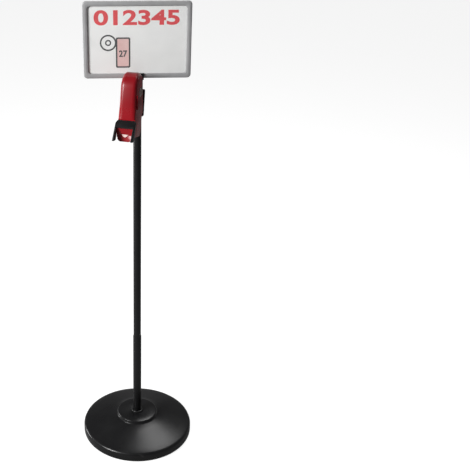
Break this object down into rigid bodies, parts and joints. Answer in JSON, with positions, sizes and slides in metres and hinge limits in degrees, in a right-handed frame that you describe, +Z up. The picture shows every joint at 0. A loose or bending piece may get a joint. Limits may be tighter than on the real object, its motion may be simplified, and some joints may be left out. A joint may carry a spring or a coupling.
{
  "type": "ticket dispenser on a floor stand",
  "caption": "Red ticket dispenser clamped to a black pole on a round weighted base, with a framed card above it.",
  "frame": {"origin": "on the floor, on the axis of the pole", "axes": "+Z up along the pole, -Y the way the dispenser's mouth looks, +X the side with the door"},
  "size_m": [0.376, 0.376, 1.518],
  "materials": {
    "black_paint": "satin",
    "cast_weight": "rough",
    "foot_rubber": "matte",
    "black_plastic": "satin",
    "plated_steel": "satin",
    "grey_frame": "satin",
    "clear_sheet": "gloss",
    "printed_card": "matte",
    "white_sheet": "matte",
    "red_plastic": "gloss",
    "grey_plastic": "satin",
    "white_plastic": "satin",
    "core_card": "matte",
    "ticket_paper": "matte"
  },
  "bodies": {
    "stand": {"base_weight": "cast_weight", "base_cover": "black_paint", "base_feet": "foot_rubber", "foot_collar": "black_plastic", "lower_tube": "black_paint", "foot_plug": "plated_steel", "base_washer": "plated_steel", "base_bolt": "plated_steel", "tube_stop": "black_plastic", "upper_tube": "black_paint", "joint_screw": "plated_steel", "sign_clip": "black_plastic", "sign_frame": "grey_frame", "clip_screw": "plated_steel"},
    "card_insert": {"sign_window": "clear_sheet", "sign_card": "printed_card", "sign_back": "white_sheet"},
    "dispenser": {"case_shell": "red_plastic", "hinge_pin": "plated_steel", "nose_bezel": "black_plastic", "chute": "red_plastic", "tear_blade": "plated_steel", "spindle": "white_plastic", "spindle_cap": "white_plastic", "spindle_screw": "plated_steel", "ticket_strip": "ticket_paper", "roller_axle": "plated_steel", "brake_pin": "plated_steel", "brake_spring": "plated_steel", "pole_bracket": "black_plastic", "upper_strap": "black_paint", "lower_strap": "black_paint", "strap_screws": "plated_steel", "case_screws": "plated_steel"},
    "door": {"door": "red_plastic", "latch_spring": "plated_steel", "latch_keeper": "black_plastic"},
    "latch": {"latch_button": "grey_plastic"},
    "roll": {"ticket_roll": "ticket_paper", "roll_core": "core_card"},
    "roller": {"guide_roller": "white_plastic"},
    "brake": {"brake_arm": "white_plastic"}
  },
  "joints": [
    {"name": "card_slide", "type": "slide", "parent": "stand", "child": "card_insert", "axis": [0, 0, 1], "range_m": [0, 0.2]},
    {"name": "dispenser_swivel", "type": "hinge", "parent": "stand", "child": "dispenser", "pos_m": [0, 0, 1.281], "axis": [0, 0, 1], "range_deg": [-12, 30]},
    {"name": "door_hinge", "type": "hinge", "parent": "dispenser", "child": "door", "pos_m": [0.0259, -0.0955, 1.25], "axis": [0, 0, -1], "range_deg": [0, 90]},
    {"name": "latch_press", "type": "slide", "parent": "door", "child": "latch", "axis": [-1, 0, 0], "range_m": [0, 0.002], "stiffness_N_per_m": 600, "springref_m": -0.002, "deforming": ["latch_spring"]},
    {"name": "roll_spin", "type": "hinge", "parent": "dispenser", "child": "roll", "pos_m": [0, -0.057, 1.281], "axis": [1, 0, 0], "continuous": true},
    {"name": "roller_spin", "type": "hinge", "parent": "dispenser", "child": "roller", "pos_m": [0, -0.098, 1.201], "axis": [1, 0, 0], "continuous": true},
    {"name": "brake_swing", "type": "hinge", "parent": "dispenser", "child": "brake", "pos_m": [0, -0.07, 1.219], "axis": [1, 0, 0], "range_deg": [0, 25], "stiffness_Nm_per_rad": 0.02, "springref_deg": -17.19, "deforming": ["brake_spring"]}
  ],
  "couplings": [
    {"joint": "roller_spin", "follows": "roll_spin", "ratio": -7}
  ]
}
